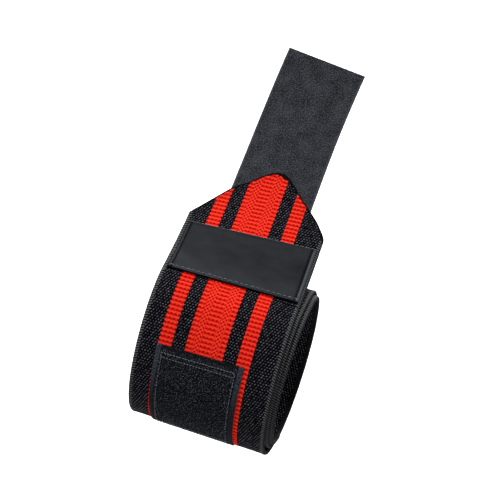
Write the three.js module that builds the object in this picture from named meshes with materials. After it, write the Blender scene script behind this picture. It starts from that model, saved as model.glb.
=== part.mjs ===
/**
 * Wrist wrap: one strip of thick elastic webbing wound round a wrist, with its free end held up.
 *
 * Millimetres and degrees. +X runs along the wrist toward the hand, +Z is up, and the front faces -Y.
 * The origin is the centre of the hollow that the wrist fills, halfway across the band where its free
 * end leaves the coil. Angles round the coil start at the bottom and rise up the front.
 */
import * as THREE from 'three';

// Driving dimensions.
const HOLLOW_HEIGHT = 79; // the wrist's breadth under the wrap, without its crown
const HOLLOW_DEPTH = 57.7; // the wrist's thickness
const CROWN_HEIGHT = 3; // how far the bone at the top of the wrist stands out of the oval
const CROWN_SPREAD = 41.6; // degrees that the crown reaches on either side of the top
const BAND_WIDTH = 80;
const BAND_THICKNESS = 1.9;
const EDGE_THICKNESS = 2.1; // the overlocked edges are a little thicker than the web
const EDGE_WIDTH = 2.6;
const EDGE_NOSE = 0.45; // thickness of an edge's outermost line, as a share of EDGE_THICKNESS
const EDGE_ROUNDING = 0.2; // how much of EDGE_WIDTH rounds off on either side
const TURNS = 2.45;
const TURN_GAP = 0.35;
const STEP_START = 0.45; // turns before the free end where a turn starts to climb onto the one under it
const STEP_LENGTH = 0.5; // turns that the climb takes, round the back of the wrist
const BOTTOM_SLACK = 2; // how far the outer turn hangs clear of the next at the bottom
const DRIFT = 6; // how far the innermost turn lies toward the hand
const LEAVE_ANGLE = 138.4; // where the free end leaves the coil

const TONGUE_STRAIGHT = 44; // from the coil to where the band starts to narrow
const TONGUE_POINT = 39.2; // length of the pointed end
const LIFT_LENGTH = 157; // from the coil to the top of the hook tab
const SEAT_GAP = 0.3; // between a sewn piece and what it lies on

const LABEL_WIDTH = 75.5;
const LABEL_LENGTH = 36.2;
const LABEL_START = 2.6; // from the coil to the label's lower edge
const LABEL_OFFSET = 0.5; // toward the hand
const LABEL_THICKNESS = 1.2;
const LABEL_RIM = 1.5;
const LABEL_RIM_HEIGHT = 0.4;
const LABEL_GROOVE = 1.1;
const LABEL_GROOVE_DEPTH = 0.4;

const LOOP_WIDTH = 50;
const LOOP_LENGTH = 57;
const LOOP_START = 41.4; // from the free end's root down the front to the patch's upper edge
const LOOP_OFFSET = -3.3; // away from the hand
const LOOP_TAPE = 0.6;
const LOOP_PILE = 0.6; // height of the loops over their tape
const LOOP_SELVEDGE = 2.8;
const LOOP_HEM = 4.5;

const TAB_WIDTH = 50;
const TAB_OVERLAP = 38; // how much of the tab lies behind the pointed end
const TAB_OFFSET = 1.9;
const TAB_TAPE = 0.9;
const TAB_HOOKS = 0.9; // height of the hooks on the tab's back
const TAB_SELVEDGE = 2;
const TAB_HEM = 3;
const TAB_CORNER = 1;

// Steps of the faceted surfaces.
const ROWS_PER_TURN = 60;
const SAMPLES_PER_TURN = 720;
const TONGUE_ROW = 7;
const PATCH_ROW = 4;
const SLOPE = 0.25; // width of the ramp between two levels of a patch
const TURN_STEP = 1e-4; // turns on either side of a place, to find its direction
const LEAST_WIDTH = 2.5; // below this many times the deepest inset, a row's insets shrink with it

// Sideways place of each turn: turns before the free end, and shift toward the hand as a share of DRIFT.
const DRIFT_ROWS = [
  { turn: -2.45, shift: 1 },
  { turn: -2, shift: 0.85 },
  { turn: -1.7, shift: 0.9 },
  { turn: -1.385, shift: 0.8 },
  { turn: -1, shift: 0.42 },
  { turn: -0.7, shift: 0.58 },
  { turn: -0.385, shift: 0.58 },
  { turn: 0, shift: 0 },
];

// The lifted end, as shares of LIFT_LENGTH: how far it bends upright, swings toward the hand
// and turns its hand side forward.
const LIFT_ROWS = [
  { share: 0, upright: 0, swing: 0, twist: 0 },
  { share: 0.33, upright: 11.6, swing: 0.2, twist: 5.7 },
  { share: 0.66, upright: 23.6, swing: 3, twist: 8 },
  { share: 1, upright: 36.4, swing: 8.5, twist: 6.8 },
];

// Outline of the point: along as a share of TONGUE_POINT, left and right as shares of half the band's width.
const POINT_ROWS = [
  { along: 0, left: -1, right: 1 },
  { along: 0.08, left: -0.97, right: 1 },
  { along: 0.15, left: -0.91, right: 0.96 },
  { along: 0.33, left: -0.765, right: 0.83 },
  { along: 0.54, left: -0.59, right: 0.625 },
  { along: 0.64, left: -0.49, right: 0.52 },
  { along: 0.73, left: -0.34, right: 0.435 },
  { along: 0.85, left: -0.215, right: 0.32 },
  { along: 0.895, left: -0.15, right: 0.275 },
  { along: 0.94, left: -0.09, right: 0.225 },
  { along: 0.98, left: -0.01, right: 0.17 },
  { along: 1, left: 0.04, right: 0.12 },
];

const radians = THREE.MathUtils.degToRad;

// Value of one column of a table at a place, on a smooth curve through its rows.
function readTable(rows, key, column, place) {
  const slope = (a, b) => (rows[b][column] - rows[a][column]) / (rows[b][key] - rows[a][key]);
  const last = rows.length - 1;
  const clamped = THREE.MathUtils.clamp(place, rows[0][key], rows[last][key]);
  let i = 0;
  while (i < last - 1 && rows[i + 1][key] < clamped) i += 1;
  const span = rows[i + 1][key] - rows[i][key];
  const t = (clamped - rows[i][key]) / span;
  const startSlope = slope(Math.max(i - 1, 0), i + 1) * span;
  const endSlope = slope(i, Math.min(i + 2, last)) * span;
  const rise = rows[i + 1][column] - rows[i][column];
  const curve = t * t * (3 - 2 * t) * rise;
  return rows[i][column] + curve + (1 - t) * t * ((1 - t) * startSlope - t * endSlope);
}

// How many layers of webbing have been climbed back down by a turn (0 on the outer turn, then 1, then 2).
function layersDown(turn) {
  let layers = 0;
  for (let start = STEP_START; start < TURNS; start += 1) {
    layers += THREE.MathUtils.smoothstep(-turn, start, start + STEP_LENGTH);
  }
  return layers;
}

// How far the wrist's crown lifts the coil at an angle round it.
function crown(angle) {
  const fromTop = Math.abs(Math.atan2(Math.sin(angle), -Math.cos(angle)));
  const share = Math.min(fromTop / radians(CROWN_SPREAD), 1);
  return CROWN_HEIGHT * Math.cos((share * Math.PI) / 2) ** 2;
}

// The middle of the band's outer face on the coil.
function coilPoint(turn) {
  const layer = layersDown(-TURNS) - layersDown(turn);
  const slack = BOTTOM_SLACK * (1 - Math.min(layersDown(turn), 1));
  const rise = EDGE_THICKNESS + layer * (EDGE_THICKNESS + TURN_GAP);
  const halfHeight = HOLLOW_HEIGHT / 2 + rise + slack / 2;
  const halfDepth = HOLLOW_DEPTH / 2 + rise;
  const angle = radians(LEAVE_ANGLE) + turn * 2 * Math.PI;
  const x = DRIFT * readTable(DRIFT_ROWS, 'turn', 'shift', turn);
  const y = -halfDepth * Math.sin(angle);
  const z = -halfHeight * Math.cos(angle) - slack / 2 + crown(angle);
  return new THREE.Vector3(x, y, z);
}

// A place on the path: where the band's outer face is, which way the band crosses and which way it faces.
function station(along, point, tangent, twist) {
  const cross = new THREE.Vector3(1, 0, 0).addScaledVector(tangent, -tangent.x).normalize();
  cross.applyAxisAngle(tangent, -twist);
  const facing = new THREE.Vector3().crossVectors(cross, tangent).normalize();
  return { along, point, cross, facing };
}

// The whole path in fine steps: the coil with along below 0, then the lifted end with along above 0.
function tracePath() {
  const stations = [];
  const steps = Math.round(TURNS * SAMPLES_PER_TURN);
  for (let i = 0; i <= steps; i += 1) {
    const turn = (i / steps - 1) * TURNS;
    const point = coilPoint(turn);
    const tangent = coilPoint(turn + TURN_STEP).sub(coilPoint(turn - TURN_STEP)).normalize();
    const before = stations.at(-1);
    const along = before ? before.along + before.point.distanceTo(point) : 0;
    stations.push(station(along, point, tangent, 0));
  }
  const coilLength = stations.at(-1).along;
  for (const place of stations) place.along -= coilLength;

  const root = stations.at(-1);
  const leaving = coilPoint(0).sub(coilPoint(-TURN_STEP)).normalize();
  const lean = Math.atan2(leaving.y, leaving.z);
  const heading = Math.asin(leaving.x);
  const point = root.point.clone();
  for (let along = 1; along <= LIFT_LENGTH; along += 1) {
    const share = along / LIFT_LENGTH;
    const leanHere = lean - radians(readTable(LIFT_ROWS, 'share', 'upright', share));
    const headingHere = heading + radians(readTable(LIFT_ROWS, 'share', 'swing', share));
    const twist = radians(readTable(LIFT_ROWS, 'share', 'twist', share));
    const tangent = new THREE.Vector3(
      Math.sin(headingHere),
      Math.cos(headingHere) * Math.sin(leanHere),
      Math.cos(headingHere) * Math.cos(leanHere),
    );
    point.add(tangent);
    stations.push(station(along, point.clone(), tangent, twist));
  }
  return stations;
}

const PATH = tracePath();

// The station at a distance along the path, between the two fine steps beside it.
function pathAt(along) {
  let low = 0;
  let high = PATH.length - 1;
  while (high - low > 1) {
    const middle = (low + high) >> 1;
    if (PATH[middle].along <= along) low = middle;
    else high = middle;
  }
  const a = PATH[low];
  const b = PATH[high];
  const t = (along - a.along) / (b.along - a.along);
  return {
    point: a.point.clone().lerp(b.point, t),
    cross: a.cross.clone().lerp(b.cross, t).normalize(),
    facing: a.facing.clone().lerp(b.facing, t).normalize(),
  };
}

// A sheet that follows the path. Each row crosses it, between its left and right edges; each column keeps
// its inset from one edge; heights(row, column) gives the sheet's two faces over the band's outer face.
function sheet(rows, columns, heights) {
  const geometry = new THREE.BoxGeometry(1, 1, 1, columns.length - 1, rows.length - 1, 1);
  const corners = geometry.attributes.position;
  const deepest = Math.max(...columns.map((column) => column.inset));
  for (let k = 0; k < corners.count; k += 1) {
    const column = columns[Math.round((corners.getX(k) + 0.5) * (columns.length - 1))];
    const row = rows[Math.round((corners.getY(k) + 0.5) * (rows.length - 1))];
    const squeeze = Math.min(1, (row.right - row.left) / (LEAST_WIDTH * deepest));
    const inset = column.inset * squeeze;
    const across = column.side < 0 ? row.left + inset : row.right - inset;
    const faces = heights(row, column);
    const place = pathAt(row.along);
    place.point.addScaledVector(place.cross, across);
    place.point.addScaledVector(place.facing, corners.getZ(k) > 0 ? faces.outer : faces.inner);
    corners.setXYZ(k, place.point.x, place.point.y, place.point.z);
  }
  geometry.computeVertexNormals();
  return geometry;
}

// Both edges' columns from one list of insets and levels, left edge first.
function mirrored(edge) {
  const left = edge.map((column) => ({ ...column, side: -1 }));
  const right = edge.map((column) => ({ ...column, side: 1 })).reverse();
  return [...left, ...right];
}

function bandGeometry() {
  const rows = [];
  const half = BAND_WIDTH / 2;
  const coilRows = Math.round(TURNS * ROWS_PER_TURN);
  for (let i = 0; i <= coilRows; i += 1) {
    const nearest = Math.round((i / coilRows) * TURNS * SAMPLES_PER_TURN);
    rows.push({ along: PATH[nearest].along, left: -half, right: half });
  }
  const tongueRows = Math.ceil(TONGUE_STRAIGHT / TONGUE_ROW);
  for (let i = 1; i < tongueRows; i += 1) {
    rows.push({ along: (i / tongueRows) * TONGUE_STRAIGHT, left: -half, right: half });
  }
  for (const row of POINT_ROWS) {
    const along = TONGUE_STRAIGHT + row.along * TONGUE_POINT;
    rows.push({ along, left: row.left * half, right: row.right * half });
  }
  const columns = mirrored([
    { inset: 0, thickness: EDGE_THICKNESS * EDGE_NOSE },
    { inset: EDGE_WIDTH * EDGE_ROUNDING, thickness: EDGE_THICKNESS },
    { inset: EDGE_WIDTH * (1 - EDGE_ROUNDING), thickness: EDGE_THICKNESS },
    { inset: EDGE_WIDTH, thickness: BAND_THICKNESS },
  ]);
  return sheet(rows, columns, (row, column) => ({
    outer: (column.thickness - EDGE_THICKNESS) / 2,
    inner: -(column.thickness + EDGE_THICKNESS) / 2,
  }));
}

// Rows from one end of a patch to the other: a step for each level at its ends, and even rows between.
function patchRows({ start, length, width, offset }, levels) {
  const left = offset - width / 2;
  const right = offset + width / 2;
  const inner = levels.at(-1);
  const rows = levels.map((step) => ({ along: start + step.inset, level: step.level, left, right }));
  const middle = length - 2 * inner.inset;
  const count = Math.ceil(middle / PATCH_ROW);
  for (let i = 1; i < count; i += 1) {
    const along = start + inner.inset + (middle * i) / count;
    rows.push({ along, level: inner.level, left, right });
  }
  for (const step of [...levels].reverse()) {
    rows.push({ along: start + length - step.inset, level: step.level, left, right });
  }
  return rows;
}

// The label: a raised rim, a groove inside it and a bare panel. Level 0 is the rim, 1 the groove, 2 the panel.
function labelGeometry() {
  const levels = [
    { inset: 0, level: 0 },
    { inset: LABEL_RIM, level: 0 },
    { inset: LABEL_RIM + SLOPE, level: 1 },
    { inset: LABEL_RIM + LABEL_GROOVE, level: 1 },
    { inset: LABEL_RIM + LABEL_GROOVE + SLOPE, level: 2 },
  ];
  const tops = [
    LABEL_THICKNESS + LABEL_RIM_HEIGHT,
    LABEL_THICKNESS - LABEL_GROOVE_DEPTH,
    LABEL_THICKNESS,
  ];
  const place = { start: LABEL_START, length: LABEL_LENGTH, width: LABEL_WIDTH, offset: LABEL_OFFSET };
  return sheet(patchRows(place, levels), mirrored(levels), (row, column) => ({
    outer: SEAT_GAP + tops[Math.min(row.level, column.level)],
    inner: SEAT_GAP,
  }));
}

// The loop patch: flat selvedges and hems, and a pile of loops inside them.
function loopGeometry() {
  const across = [
    { inset: 0, level: 0 },
    { inset: LOOP_SELVEDGE, level: 0 },
    { inset: LOOP_SELVEDGE + SLOPE, level: 1 },
  ];
  const along = [
    { inset: 0, level: 0 },
    { inset: LOOP_HEM, level: 0 },
    { inset: LOOP_HEM + SLOPE, level: 1 },
  ];
  const start = -LOOP_START - LOOP_LENGTH;
  const place = { start, length: LOOP_LENGTH, width: LOOP_WIDTH, offset: LOOP_OFFSET };
  return sheet(patchRows(place, along), mirrored(across), (row, column) => ({
    outer: SEAT_GAP + LOOP_TAPE + LOOP_PILE * Math.min(row.level, column.level),
    inner: SEAT_GAP,
  }));
}

// The hook tab: a flat tape behind the point, with its hooks on the back, inside bare edges.
function tabGeometry() {
  const across = [
    { inset: 0, level: 0 },
    { inset: TAB_SELVEDGE, level: 0 },
    { inset: TAB_SELVEDGE + SLOPE, level: 1 },
  ];
  const along = [
    { inset: 0, level: 0 },
    { inset: TAB_HEM, level: 0 },
    { inset: TAB_HEM + SLOPE, level: 1 },
  ];
  const start = TONGUE_STRAIGHT + TONGUE_POINT - TAB_OVERLAP;
  const place = { start, length: LIFT_LENGTH - start, width: TAB_WIDTH, offset: TAB_OFFSET };
  const rows = patchRows(place, along);
  const top = rows.at(-1);
  rows.splice(-1, 0, { ...top, along: top.along - TAB_CORNER });
  top.left += TAB_CORNER;
  top.right -= TAB_CORNER;
  const face = -EDGE_THICKNESS - SEAT_GAP;
  return sheet(rows, mirrored(across), (row, column) => ({
    outer: face,
    inner: face - TAB_TAPE - TAB_HOOKS * Math.min(row.level, column.level),
  }));
}

function piece(name, geometry, color, roughness) {
  const mesh = new THREE.Mesh(geometry, new THREE.MeshStandardMaterial({ color, roughness, metalness: 0 }));
  mesh.name = name;
  return mesh;
}

const wrap = new THREE.Group();
wrap.add(piece('elastic_band', bandGeometry(), 0x17171a, 0.9));
wrap.add(piece('label_patch', labelGeometry(), 0x2d3034, 0.6));
wrap.add(piece('loop_patch', loopGeometry(), 0x1b1d20, 1));
wrap.add(piece('hook_tab', tabGeometry(), 0x323439, 0.85));

export default wrap;
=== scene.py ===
"""A wrist wrap in black elastic webbing with red stripes, wound into a coil, its pointed end held up.

Lengths are millimetres until a mesh is made, in the row's frame: +X along the wrist toward the hand,
+Z up, the front at -Y. A place on the band is (along, across, lift): the distance along its path, below 0
on the coil and above 0 on the lifted end, the distance from its middle line toward the hand, and the
height over its face. The stage and its lamps are in metres.
"""
import math

import bpy
import numpy as np
from mathutils import Matrix, Vector


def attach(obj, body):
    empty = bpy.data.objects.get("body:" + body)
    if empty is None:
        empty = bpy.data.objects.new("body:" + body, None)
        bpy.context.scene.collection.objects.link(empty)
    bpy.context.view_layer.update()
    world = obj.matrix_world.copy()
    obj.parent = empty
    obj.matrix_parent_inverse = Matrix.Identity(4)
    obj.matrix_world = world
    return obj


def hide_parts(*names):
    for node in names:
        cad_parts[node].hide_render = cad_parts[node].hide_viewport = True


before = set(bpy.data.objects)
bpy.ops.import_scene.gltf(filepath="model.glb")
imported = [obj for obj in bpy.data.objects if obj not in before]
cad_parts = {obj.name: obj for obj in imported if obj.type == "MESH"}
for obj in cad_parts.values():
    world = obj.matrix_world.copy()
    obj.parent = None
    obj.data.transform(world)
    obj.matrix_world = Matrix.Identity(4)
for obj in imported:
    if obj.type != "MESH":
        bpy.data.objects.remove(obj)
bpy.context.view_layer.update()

METRE = 0.001

# The coil: turns of band round an oval hollow with a crown at its top. Each turn climbs over the one
# below in a step, which starts STEP_START of a turn before the free end, and again each turn before that.
HOLLOW_HEIGHT = 79
HOLLOW_DEPTH = 57.7
CROWN_HEIGHT = 3
CROWN_SPREAD = 41.6
TURNS = 2.45
TURN_GAP = 0.35
STEP_START = 0.45
STEP_LENGTH = 0.5
BOTTOM_SLACK = 2
DRIFT = 6
LEAVE_ANGLE = 138.4
SAMPLES_PER_TURN = 720
TURN_STEP = 1e-4

# The band and its lifted end, a straight tongue with a point. The coil's webbing is stretched.
BAND_WIDTH = 80
BAND_THICKNESS = 1.9
EDGE_THICKNESS = 2.1
EDGE_WIDTH = 2.6
TONGUE_STRAIGHT = 44
TONGUE_POINT = 39.2
LIFT_LENGTH = 157
STRETCH = 1.4

# The label, the loop patch and the hook tab, all SEAT_GAP off the band. A swell has a height, a length
# along and across the band, and a shift. The steps are those of the meshes.
SEAT_GAP = 0.3
LABEL_WIDTH = 75.5
LABEL_LENGTH = 36.2
LABEL_START = 2.6
LABEL_OFFSET = 0.5
LABEL_SWELL = (0.05, 5.1, 6.5, 1)
LABEL_STEP = 1.4
LOOP_WIDTH = 50
LOOP_LENGTH = 57
LOOP_START = 41.4
LOOP_OFFSET = -3.3
LOOP_SLANT = 0.018
LOOP_TAPER = 0.011
LOOP_TAPE = 0.6
LOOP_PILE = 0.6
LOOP_SELVEDGE = 2.8
LOOP_HEM = 4.5
LOOP_STEP = 0.9
TAB_WIDTH = 50
TAB_OVERLAP = 38
TAB_OFFSET = 1.9
TAB_TAPE = 0.9
TAB_HOOKS = 0.9
TAB_SELVEDGE = 2
TAB_HEM = 3
TAB_SWELL = (0.06, 7.3, 5.2, 0.7)
TAB_STEP = 1.2

# Turn before the free end, and shift toward the hand as a share of DRIFT.
DRIFT_ROWS = [
    (-2.45, 1), (-2, 0.85), (-1.7, 0.9), (-1.385, 0.8), (-1, 0.42), (-0.7, 0.58), (-0.385, 0.58), (0, 0),
]
# Share of LIFT_LENGTH, then degrees that the lifted end bends upright, swings to the hand and twists.
LIFT_ROWS = [(0, 0, 0, 0), (0.33, 11.6, 0.2, 5.7), (0.66, 23.6, 3, 8), (1, 36.4, 8.5, 6.8)]
# Outline of the point: share of TONGUE_POINT, then left and right as shares of half the band's width.
POINT_ROWS = [
    (0, -1, 1), (0.08, -0.97, 1), (0.15, -0.91, 0.96), (0.33, -0.765, 0.83), (0.54, -0.59, 0.625),
    (0.64, -0.49, 0.52), (0.73, -0.34, 0.435), (0.85, -0.215, 0.32), (0.895, -0.15, 0.275),
    (0.94, -0.09, 0.225), (0.98, -0.01, 0.17), (1, 0.04, 0.12),
]

# The red weave: cross ribs on three stripes, with two herringbone bands in the wide one.
STRIPE_SHIFT = -1.85
NARROW_INNER = 18.7
NARROW_OUTER = 26.1
CENTRE_HALF = 10.7
RIB_PITCH = 2.6
RIB_RELIEF = 0.3
RIB_BULGE = 0.4
RIB_SCALLOP = 0.07
RIB_SHAPE = 0.8
VALLEY_THREADS = 0.42
THREAD_PITCH = 2.3
HERRINGBONE_INNER = 3.4
HERRINGBONE_OUTER = 7.4
HERRINGBONE_SOFT = 0.4
HERRINGBONE_PITCH = 2.5
HERRINGBONE_SLOPE = 1.1
HERRINGBONE_CROSSING = 0.8
HERRINGBONE_DEPTH = 1.1

# The black twill: slanting ridges of small beads.
TWILL_PITCH = 1.5
TWILL_SLOPE = 1.9
TWILL_BEAD = 1.7
TWILL_VALLEY = 0.3

# The band's mesh: steps along it where it is hidden, rows for each rib where it shows, steps across it on
# the stripes and beside them, and places of the outermost columns.
HIDDEN_STEP = 3.6
ROWS_PER_RIB = 6
STRIPE_STEP = 0.55
PLAIN_STEP = 1.6
EDGE_STOPS = [0, 0.5, 1.3, 2]
INNER_COLUMNS = 12
EDGE_INSET = 0.4
EDGE_DROP = 0.5
EDGE_DROP_WIDTH = 1.2
SEAM_DEPTH = 0.1

# Thread over the edges: overlock on the long ones, and a binding round the point that widens at its tip.
OVERLOCK_PITCH = 1.45
OVERLOCK_RELIEF = 0.35
OVERLOCK_SLANT = 0.32
OVERLOCK_RISE = 0.1
OVERLOCK_SAMPLES = 5
OVERLOCK_REACH = 2
BINDING_WIDTH = 0.9
BINDING_RISE = 0.3
BINDING_PITCH = 1.1
BINDING_RELIEF = 0.15
BINDING_STEP = 0.35
BINDING_SMOOTHING = 12
CRESCENT_WIDTH = 1.9
CRESCENT_REACH = 6
CRESCENT_BELOW_TIP = 1
CRESCENT_SIDE = 0.15
ROLL_SIDES = 11
ROLL_SHAPE = 0.6
ROLL_SINK = 0.35
ROLL_CLOTH = 3

# Profiles of the patches' borders: distance in from the border, then height over the patch's seat, or
# for the tab over its own faces.
LABEL_SIDE_ROWS = [
    (0, 0.5), (0.12, 1.2), (0.35, 1.5), (0.7, 1.62), (1.3, 1.6), (1.55, 1.5), (1.68, 1.0), (1.78, 0.8),
    (2.4, 0.78), (2.6, 0.95), (2.8, 1.15), (3.2, 1.22),
]
LABEL_END_ROWS = [
    (0, 0.5), (0.12, 1.1), (0.35, 1.4), (0.7, 1.5), (1.3, 1.45), (1.6, 1.25), (1.9, 1.1), (2.4, 1.15),
    (3.2, 1.22),
]
PILE_TOP = LOOP_TAPE + LOOP_PILE
LOOP_SIDE_ROWS = [
    (0, 0.3), (0.15, LOOP_TAPE), (LOOP_SELVEDGE, LOOP_TAPE), (LOOP_SELVEDGE + 0.5, PILE_TOP - 0.2),
    (LOOP_SELVEDGE + 1.2, PILE_TOP),
]
LOOP_END_ROWS = [
    (0, 0.3), (0.15, LOOP_TAPE + 0.05), (1.2, LOOP_TAPE + 0.15), (LOOP_HEM, LOOP_TAPE + 0.15),
    (LOOP_HEM + 0.6, PILE_TOP - 0.15), (LOOP_HEM + 1.4, PILE_TOP),
]
TAB_ROWS = [(0, -0.3), (0.1, -0.08), (0.3, 0), (0.9, 0)]

# Threads: points along one, sides round a stitch and a hook, and the taper of their ends.
THREAD_POINTS = 6
STITCH_SIDES = 6
FUZZ_SIDES = 4
TAPER_START = 0.25
TAPER_SHAPE = 0.4

# Stitches: pitch, length, and radius of the thread. A stitch rises and dips by shares of that radius.
POINT_STITCH = (2.3, 1.7, 0.16)
LABEL_STITCH = (3.1, 2.1, 0.25)
LOOP_ROW_STITCH = (1.7, 1.25, 0.17)
LOOP_SIDE_STITCH = (1.9, 1.3, 0.17)
STITCH_FIRST = 0.4
STITCH_RISE = 1.5
STITCH_DIP = 0.6
LINE_POINTS = 40
POINT_STITCH_INSET = 2.8
LABEL_STITCH_INSET = 0.8
LOOP_ROW_INSETS = (LOOP_HEM - 0.4, LOOP_HEM + 2.1)
LOOP_SIDE_INSET = LOOP_SELVEDGE + 1.2
# Rows of stitches on the label: name, distance from its lower end, and height over its seat.
LABEL_STITCH_ROWS = [("lower", 1.9, 1.15), ("upper", LABEL_LENGTH - 0.6, 1.5)]

# Small loops of the pile, which are lower on the hems. Pairs are the least and the most of a draw.
PILE_STEP = 0.95
PILE_SCATTER = 0.45
PILE_RADIUS = 0.09
PILE_INSET = 1.5
PILE_SIDE_INSET = 0.6
PILE_SPANS = (0.5, 1.1)
PILE_RISE = 0.4
HEM_PILE_RISE = 0.15
PILE_RISE_SHARES = (0.6, 1.2)
PILE_ROUGHNESS = 0.1
PILE_SINK = 0.1
HEM_PILE_SEAT = 0.1

# Hooks of the tab. HOOK_STEM is the share of a hook's thread that stands straight.
HOOK_ROW_STEP = 1.5
HOOK_COLUMN_STEP = 1.25
HOOK_SIDE_INSET = 0.4
HOOK_SCATTER = 0.12
HOOK_RADIUS = 0.1
HOOK_STEM = 0.45
HOOK_BEND = 0.28

# Colours, linear. A pair is the dark and the bright end of a mix.
# Red of the ribs: painted shade in their valleys, the red itself in their bodies, a painted highlight on
# their crests.
RED_VALLEY_PAINTED_SHADE = (0.26, 0, 0)
RED_BODY = (0.46, 0.009, 0.003)
RED_CREST_PAINTED_HIGHLIGHT = (0.63, 0.033, 0.018)
# Black twill: the webbing's own black, and a painted highlight on the crests of its beads.
TWILL_BLACK_AND_PAINTED_HIGHLIGHT = ((0.001, 0.001, 0.0018), (0.082, 0.082, 0.098))
STRIPE_SEAM = (0.003, 0.001, 0.001)
SEAM_REDS = ((0.2, 0.002, 0.001), (0.45, 0.015, 0.008))
SEAM_BLACK = (0.006, 0.006, 0.007)
# Overlock: the thread's own black, and a painted highlight on its crests.
OVERLOCK_BLACK_AND_PAINTED_HIGHLIGHT = ((0.001, 0.001, 0.0013), (0.085, 0.087, 0.092))
# Label panel: from the rubber's dark tone to a brighter one, used for random clouds and for painted sheen.
LABEL_COLOURS = ((0.002, 0.0023, 0.0034), (0.0138, 0.0165, 0.02))
# Label rim: painted shade on the wrist side and painted light on the hand side.
LABEL_RIM_PAINTED_SHADE_AND_LIGHT = ((0.012, 0.0135, 0.0165), (0.034, 0.039, 0.046))
# Painted shade of the label's groove, its wrist side's outer edge and its ends.
LABEL_PAINTED_SHADE = (0.001, 0.001, 0.001)
PILE_COLOURS = ((0.0004, 0.0005, 0.0007), (0.036, 0.04, 0.05))
SELVEDGE_COLOURS = ((0.003, 0.0035, 0.0045), (0.046, 0.054, 0.07))
TAB_COLOURS = ((0.005, 0.0054, 0.007), (0.056, 0.06, 0.07))
TAB_BORDER = (0.04, 0.044, 0.052)
NEAR_PAPER = (0.42, 0.42, 0.42)
FAR_PAPER = (0.9, 0.9, 0.9)
# Yarns: dark and bright colour, and size of their patches.
YARNS = {
    "black_thread": ((0.0006, 0.0006, 0.0008), (0.003, 0.003, 0.0035), 0.35),
    "pale_thread": ((0.03, 0.033, 0.037), (0.2, 0.21, 0.235), 0.35),
    "slate_thread": ((0.05, 0.055, 0.065), (0.3, 0.32, 0.37), 0.35),
    "loop_fuzz": ((0.0004, 0.0005, 0.0007), (0.18, 0.195, 0.24), 0.8),
    "hook_thread": ((0.01, 0.011, 0.013), (0.05, 0.052, 0.06), 0.35),
}
# Millimetres of cloth in one unit of the UV layer.
CLOTH_UNIT = 100

# The camera of the photograph, solved from its edges.
CAMERA_TURN = 10.88
CAMERA_ROLL = 17.29
CAMERA_DISTANCE = 876.6
CAMERA_FOCAL_PIXELS = 1558.2
CAMERA_SIDE = -17.64
CAMERA_RISE = -56.91
CAMERA_LIFT = 1.56
IMAGE_SIZE = 500
SENSOR_WIDTH = 36

# The stage, in metres: a floor that sweeps up behind the part. Its grey turns pale from FAR_START to
# FAR_END, to the front and the sides.
FLOOR_DEPTH = 0.17
STAGE_SIDE = 8
STAGE_FRONT = -8
SWEEP_START = 1.2
SWEEP_RADIUS = 0.9
SWEEP_POINTS = 16
SWEEP_FIRST_ANGLE = 0.1
WALL_TOP = 3.2
FAR_START = 0.9
FAR_END = 2.6
WORLD_STRENGTH = 0.33
PART_MIDDLE = (0, 0, 0.03)
# Lamps: name, place, the place that it faces, diameter, and power in watts.
LAMPS = [
    ("key", (-0.5, -0.9, 1.4), PART_MIDDLE, 0.6, 38),
    ("fill", (1.4, -1.1, 0.6), PART_MIDDLE, 1.2, 5),
    ("rear", (0.6, 1.0, 1.6), PART_MIDDLE, 1.4, 14),
    ("backdrop", (0, 0.8, 1.2), (0, 1.9, 0.1), 2, 140),
]


def smooth_curve(rows, column, at):
    """One column of a table at some places, on a smooth curve through its rows."""
    places = np.array([row[0] for row in rows], float)
    values = np.array([row[column] for row in rows], float)
    at = np.clip(at, places[0], places[-1])
    i = np.clip(np.searchsorted(places, at) - 1, 0, len(places) - 2)
    before, after = np.maximum(i - 1, 0), np.minimum(i + 2, len(places) - 1)
    span = places[i + 1] - places[i]
    t = (at - places[i]) / span
    start = (values[i + 1] - values[before]) / (places[i + 1] - places[before]) * span
    end = (values[after] - values[i]) / (places[after] - places[i]) * span
    rise = values[i + 1] - values[i]
    return values[i] + t * t * (3 - 2 * t) * rise + (1 - t) * t * ((1 - t) * start - t * end)


def smoothstep(x, low, high):
    """A smooth rise from 0 at low to 1 at high."""
    t = np.clip((x - low) / (high - low), 0, 1)
    return t * t * (3 - 2 * t)


def unit(vectors):
    """Vectors of length 1 in the same directions."""
    return vectors / np.linalg.norm(vectors, axis=-1, keepdims=True)


def run_along(line):
    """The distance from a line's first point to each of its points, along the line."""
    return np.concatenate([[0], np.cumsum(np.linalg.norm(np.diff(line, axis=0), axis=1))])


def layers_down(turn):
    """How many layers of band lie over a turn before the free end."""
    starts = np.arange(STEP_START, TURNS, 1)
    return sum(smoothstep(-np.asarray(turn, float), start, start + STEP_LENGTH) for start in starts)


def coil_points(turn):
    """The middle of the band's outer face at turns before the free end."""
    layer = layers_down(-TURNS) - layers_down(turn)
    slack = BOTTOM_SLACK * (1 - np.minimum(layers_down(turn), 1))
    rise = EDGE_THICKNESS + layer * (EDGE_THICKNESS + TURN_GAP)
    half_height = HOLLOW_HEIGHT / 2 + rise + slack / 2
    half_depth = HOLLOW_DEPTH / 2 + rise
    angle = math.radians(LEAVE_ANGLE) + np.asarray(turn) * 2 * math.pi
    from_top = np.abs(np.arctan2(np.sin(angle), -np.cos(angle)))
    painted_rib_light = CROWN_HEIGHT * np.cos(np.minimum(from_top / math.radians(CROWN_SPREAD), 1) * math.pi / 2) ** 2
    x = DRIFT * smooth_curve(DRIFT_ROWS, 1, turn)
    return np.stack([x, -half_depth * np.sin(angle), painted_rib_light - half_height * np.cos(angle) - slack / 2], -1)


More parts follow.
